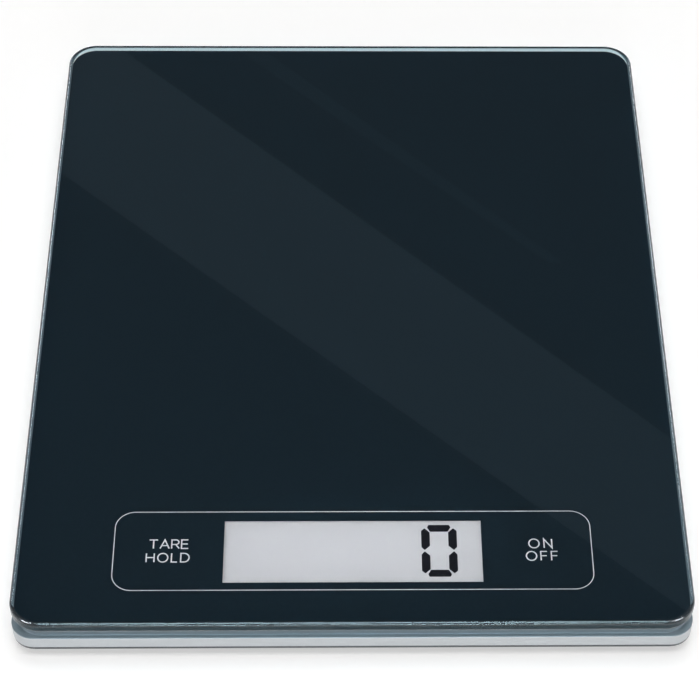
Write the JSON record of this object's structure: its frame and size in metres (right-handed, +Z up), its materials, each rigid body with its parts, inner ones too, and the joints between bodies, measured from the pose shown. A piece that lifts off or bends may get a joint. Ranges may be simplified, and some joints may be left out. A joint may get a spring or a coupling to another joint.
{
  "type": "kitchen scale",
  "caption": "Flat digital kitchen scale: a toughened glass platform with display window and touch keys, bonded to a low silver tray on weighing feet, with battery bay and unit button below.",
  "frame": {"origin": "on the table plane under the feet, in the middle of the platform's outline", "axes": "+Z up; -Y towards the user, the side with the display; +X to the user's right; +Y towards the rear"},
  "size_m": [0.21, 0.2686, 0.018],
  "materials": {
    "toughened_glass": "polished, with ground and polished edges",
    "black_enamel": "fired enamel seen through the glass",
    "foam_tape": "closed-cell foam",
    "silver_abs": "silver moulded ABS, fine satin texture",
    "spring_steel": "rolled, zinc plated",
    "gauge_foil": "etched foil on polyimide",
    "silicone": "white silicone",
    "plated_steel": "zinc plated",
    "dark_abs": "dark grey moulded ABS",
    "pad_rubber": "matt black rubber",
    "circuit_board": "solder resist over glass-fibre laminate",
    "black_epoxy": "epoxy drop",
    "board_parts": "ceramic and tinned parts",
    "display_glass": "display glass with grey polariser",
    "white_abs": "white moulded ABS",
    "light_guide": "white acrylic",
    "zebra_rubber": "layered conductive silicone rubber",
    "copper_foil": "copper foil",
    "gilt_spring": "gold-plated spring wire",
    "battery_can": "plain printed sleeve over a steel can",
    "nickel_steel": "nickel plated",
    "white_button": "light grey moulded ABS",
    "switch_body": "black nylon",
    "red_wire": "PVC insulation",
    "black_wire": "PVC insulation"
  },
  "bodies": {
    "housing": {"glass_platform": "toughened_glass", "back_print": "black_enamel", "adhesive_frame": "foam_tape", "support_pads": "foam_tape", "base_tray": "silver_abs", "load_cell_front_left": "spring_steel", "load_cell_front_right": "spring_steel", "load_cell_rear_left": "spring_steel", "load_cell_rear_right": "spring_steel", "strain_gauges": "gauge_foil", "gauge_coatings": "silicone", "load_cell_screws": "plated_steel", "main_board": "circuit_board", "board_screws": "plated_steel", "controller_chip": "black_epoxy", "board_components": "board_parts", "lcd_glass": "display_glass", "lcd_holder": "white_abs", "lcd_reflector": "light_guide", "lcd_gasket": "foam_tape", "zebra_strips": "zebra_rubber", "touch_electrodes": "copper_foil", "touch_springs": "gilt_spring", "batteries": "battery_can", "battery_springs": "nickel_steel", "battery_contacts": "nickel_steel", "unit_switch": "switch_body", "load_cell_wires": "red_wire", "battery_wires": "black_wire"},
    "foot_front_left": {"foot_cup_front_left": "dark_abs", "foot_pad_front_left": "pad_rubber", "foot_rivet_front_left": "plated_steel"},
    "foot_front_right": {"foot_cup_front_right": "dark_abs", "foot_pad_front_right": "pad_rubber", "foot_rivet_front_right": "plated_steel"},
    "foot_rear_left": {"foot_cup_rear_left": "dark_abs", "foot_pad_rear_left": "pad_rubber", "foot_rivet_rear_left": "plated_steel"},
    "foot_rear_right": {"foot_cup_rear_right": "dark_abs", "foot_pad_rear_right": "pad_rubber", "foot_rivet_rear_right": "plated_steel"},
    "battery_cover": {"battery_cover": "silver_abs"},
    "unit_button": {"unit_button": "white_button", "switch_plunger": "white_abs"}
  },
  "joints": [
    {"name": "foot_travel_front_left", "type": "slide", "parent": "housing", "child": "foot_front_left", "axis": [0, 0, 1], "range_m": [0, 0.0004], "stiffness_N_per_m": 92000, "deforming": ["load_cell_front_left"]},
    {"name": "foot_travel_front_right", "type": "slide", "parent": "housing", "child": "foot_front_right", "axis": [0, 0, 1], "range_m": [0, 0.0004], "stiffness_N_per_m": 92000, "deforming": ["load_cell_front_right"]},
    {"name": "foot_travel_rear_left", "type": "slide", "parent": "housing", "child": "foot_rear_left", "axis": [0, 0, 1], "range_m": [0, 0.0004], "stiffness_N_per_m": 92000, "deforming": ["load_cell_rear_left"]},
    {"name": "foot_travel_rear_right", "type": "slide", "parent": "housing", "child": "foot_rear_right", "axis": [0, 0, 1], "range_m": [0, 0.0004], "stiffness_N_per_m": 92000, "deforming": ["load_cell_rear_right"]},
    {"name": "battery_cover_slide", "type": "slide", "parent": "housing", "child": "battery_cover", "axis": [0, 1, 0], "range_m": [0, 0.037]},
    {"name": "unit_button_press", "type": "slide", "parent": "housing", "child": "unit_button", "axis": [0, 0, 1], "range_m": [0, 0.0005], "stiffness_N_per_m": 2400}
  ]
}
